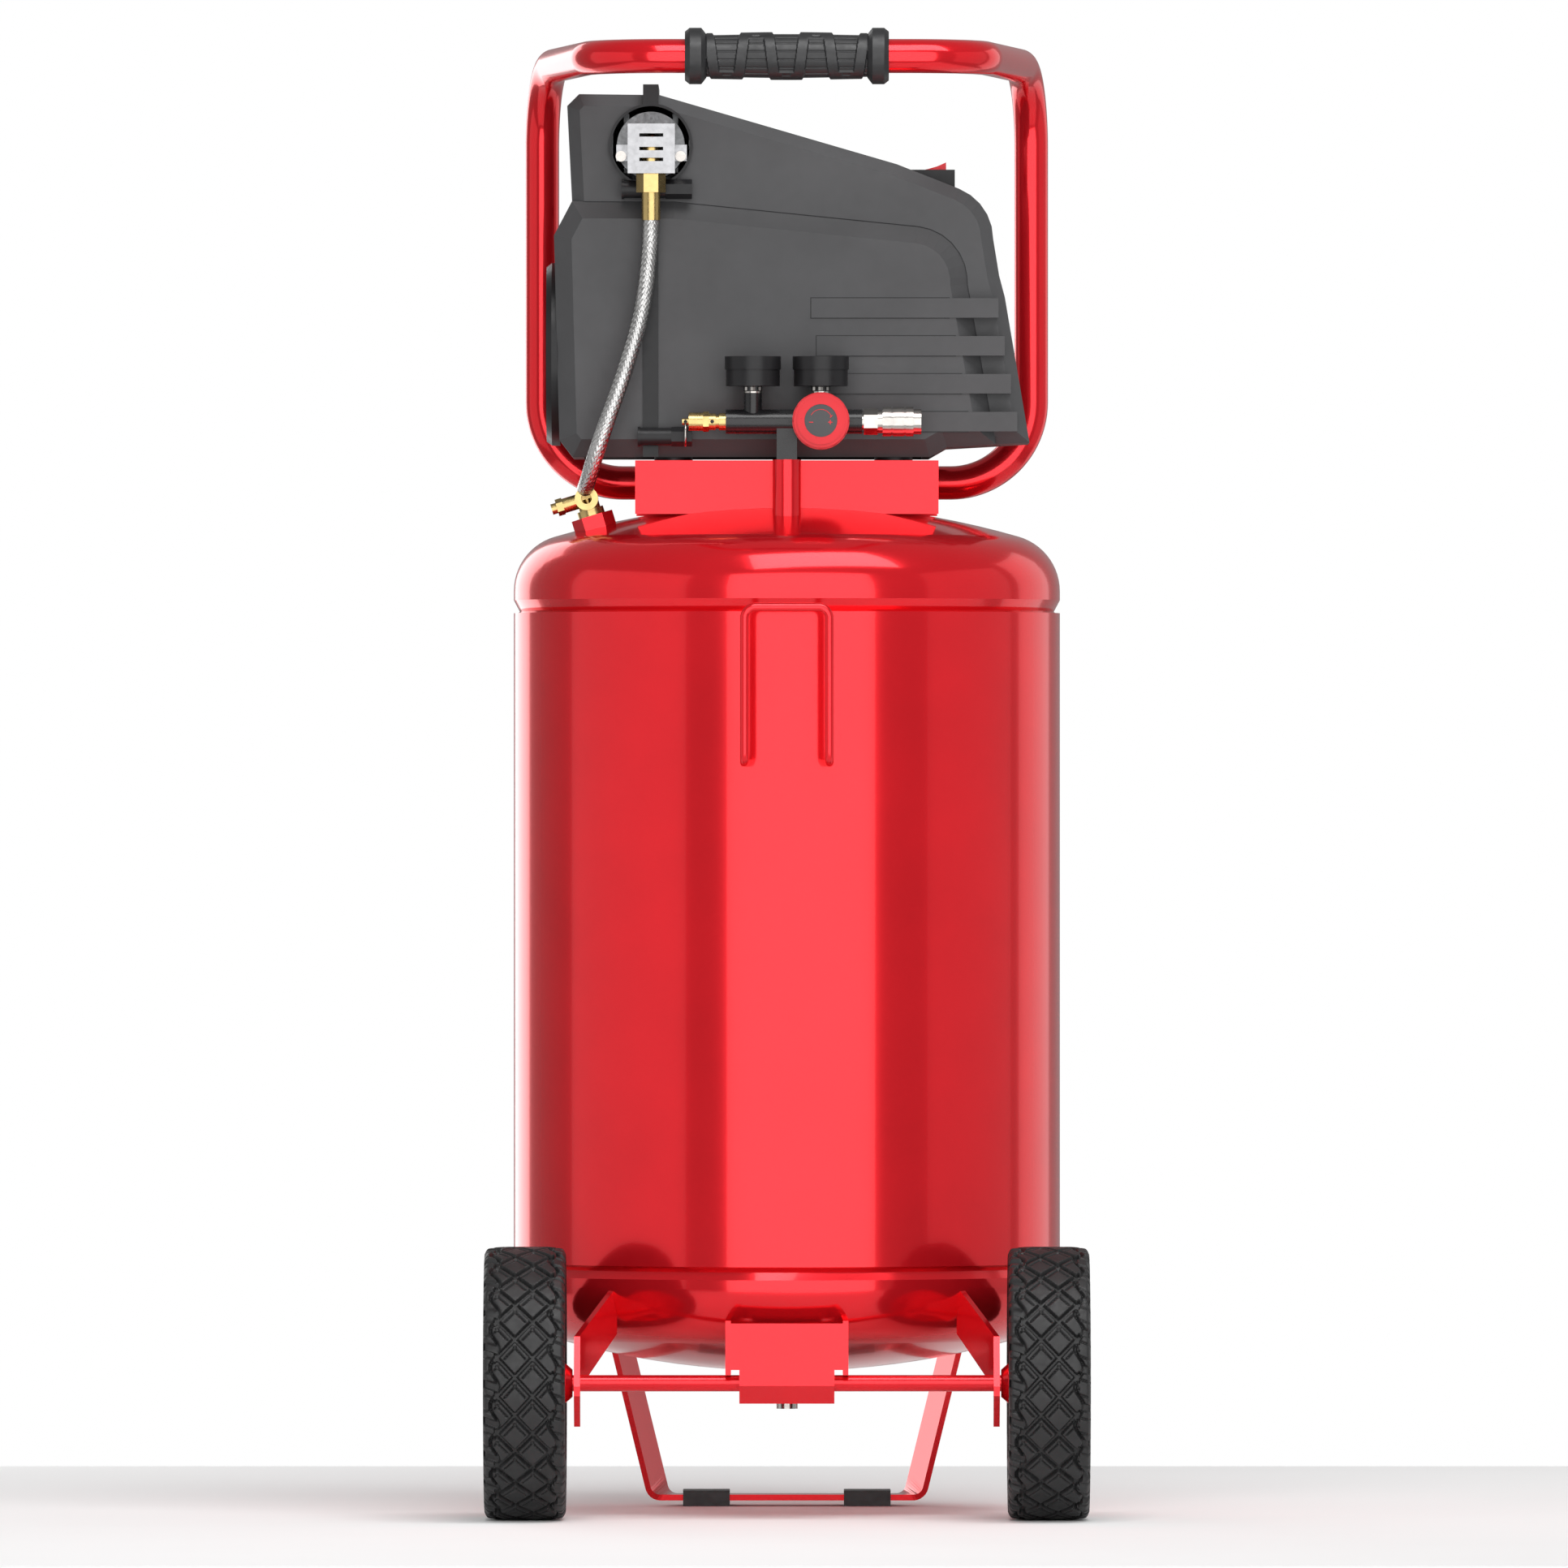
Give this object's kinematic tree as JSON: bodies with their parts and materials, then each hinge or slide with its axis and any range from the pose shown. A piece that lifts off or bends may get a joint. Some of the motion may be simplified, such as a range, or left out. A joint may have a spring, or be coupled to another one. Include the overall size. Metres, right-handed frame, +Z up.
{
  "type": "air compressor",
  "caption": "Upright portable air compressor: vertical receiver on wheels and a foot strap, shrouded pump, gauges, regulator, quick coupler and a looped handle.",
  "frame": {"origin": "on the floor under the middle of the bounding box", "axes": "+Z up; -Y is the front, where the wheels, gauges and hose hook are; +X to the right seen from the front"},
  "size_m": [0.4426, 0.5074, 1.0929],
  "materials": {
    "red_paint": "gloss",
    "black_rubber": "satin",
    "tyre_rubber": "satin",
    "grey_shell": "satin",
    "black_plastic": "satin",
    "black_metal": "satin",
    "red_plastic": "gloss",
    "brass": "polished",
    "nickel": "polished",
    "polished_sheet": "polished",
    "braid": "braided",
    "machined_steel": "satin",
    "cast_aluminium": "cast",
    "dial_white": "matte",
    "clear_lens": "clear",
    "needle_black": "matte"
  },
  "bodies": {
    "frame": {"tank_shell": "red_paint", "tank_top_head": "red_paint", "tank_bottom_head": "red_paint", "hose_hook": "red_paint", "saddle_bracket": "red_paint", "valve_bung": "red_paint", "riser_pipe": "red_paint", "handle_frame": "red_paint", "axle_brackets": "red_paint", "centre_bracket": "red_paint", "axle": "red_paint", "foot_strap": "red_paint", "handle_grip": "black_rubber", "foot_pads": "black_rubber", "isolators": "black_rubber", "upper_shroud": "grey_shell", "lower_shroud": "grey_shell", "joint_band": "black_plastic", "clamp_lugs": "black_plastic", "fan_guard": "black_plastic", "lead_gland": "black_plastic", "pressure_switch": "black_plastic", "capacitor": "black_plastic", "gauge_cases": "black_plastic", "manifold": "black_metal", "regulator_body": "black_metal", "discharge_elbow": "brass", "hose_fittings": "brass", "check_valve": "brass", "valve_plug": "brass", "relief_body": "brass", "drain_body": "brass", "coupler_body": "nickel", "guard_screws": "nickel", "heat_guard": "polished_sheet", "delivery_hose": "braid", "motor_stator": "machined_steel", "end_bells": "cast_aluminium", "crankcase": "cast_aluminium", "cylinder_sleeve": "cast_aluminium", "cylinder_head": "cast_aluminium", "gauge_dials": "dial_white", "gauge_lenses": "clear_lens"},
    "tank_needle_body": {"tank_needle": "needle_black"},
    "outlet_needle_body": {"outlet_needle": "needle_black"},
    "knob": {"regulator_knob": "red_plastic", "knob_cap": "grey_shell"},
    "relief_stem_body": {"relief_stem": "brass"},
    "ring": {"pull_ring": "nickel"},
    "sleeve": {"coupler_sleeve": "nickel"},
    "rocker_body": {"rocker": "red_plastic"},
    "drain_knob_body": {"drain_knob": "nickel"},
    "left_wheel": {"left_tyre": "tyre_rubber", "left_rim": "red_paint"},
    "right_wheel": {"right_tyre": "tyre_rubber", "right_rim": "red_paint"},
    "crank": {"rotor": "machined_steel", "crankshaft": "machined_steel", "cooling_fan": "black_plastic"},
    "rod": {"connecting_rod": "cast_aluminium"}
  },
  "joints": [
    {"name": "left_wheel_spin", "type": "hinge", "parent": "frame", "child": "left_wheel", "pos_m": [-0.1916, -0.15375, 0.1], "axis": [1, 0, 0], "continuous": true},
    {"name": "right_wheel_spin", "type": "hinge", "parent": "frame", "child": "right_wheel", "pos_m": [0.1916, -0.15375, 0.1], "axis": [1, 0, 0], "continuous": true},
    {"name": "crank_spin", "type": "hinge", "parent": "frame", "child": "crank", "pos_m": [0, 0.05125, 0.8574], "axis": [1, 0, 0], "continuous": true},
    {"name": "rod_swing", "type": "hinge", "parent": "crank", "child": "rod", "pos_m": [-0.1005, 0.05125, 0.8654], "axis": [1, 0, 0], "continuous": true},
    {"name": "rocker_switch", "type": "hinge", "parent": "frame", "child": "rocker_body", "pos_m": [0.106, 0.05125, 0.988], "axis": [0, 1, 0], "range_deg": [0, 22]},
    {"name": "regulator_turn", "type": "hinge", "parent": "frame", "child": "knob", "pos_m": [0.025, -0.08375, 0.8058], "axis": [0, 1, 0], "range_deg": [-720, 360]},
    {"name": "relief_pull", "type": "slide", "parent": "frame", "child": "relief_stem_body", "axis": [-1, 0, 0], "range_m": [0, 0.0025], "stiffness_N_per_m": 2000, "springref_m": -0.0005},
    {"name": "pull_ring_swing", "type": "hinge", "parent": "relief_stem_body", "child": "ring", "pos_m": [-0.0747, -0.05275, 0.8058], "axis": [0, 1, 0], "range_deg": [-15, 85]},
    {"name": "coupler_sleeve_slide", "type": "slide", "parent": "frame", "child": "sleeve", "axis": [-1, 0, 0], "range_m": [0, 0.0032], "stiffness_N_per_m": 1500, "springref_m": -0.0005},
    {"name": "drain_turn", "type": "hinge", "parent": "frame", "child": "drain_knob_body", "pos_m": [0, 0.05125, 0.08], "axis": [0, 0, 1], "range_deg": [0, 720]},
    {"name": "tank_needle_turn", "type": "hinge", "parent": "frame", "child": "tank_needle_body", "pos_m": [-0.025, -0.05275, 0.847], "axis": [0, 0, 1], "range_deg": [-270, 0]},
    {"name": "outlet_needle_turn", "type": "hinge", "parent": "frame", "child": "outlet_needle_body", "pos_m": [0.025, -0.05275, 0.847], "axis": [0, 0, 1], "range_deg": [-270, 0]}
  ],
  "couplings": [
    {"joint": "rod_swing", "follows": "crank_spin", "ratio": -1}
  ]
}
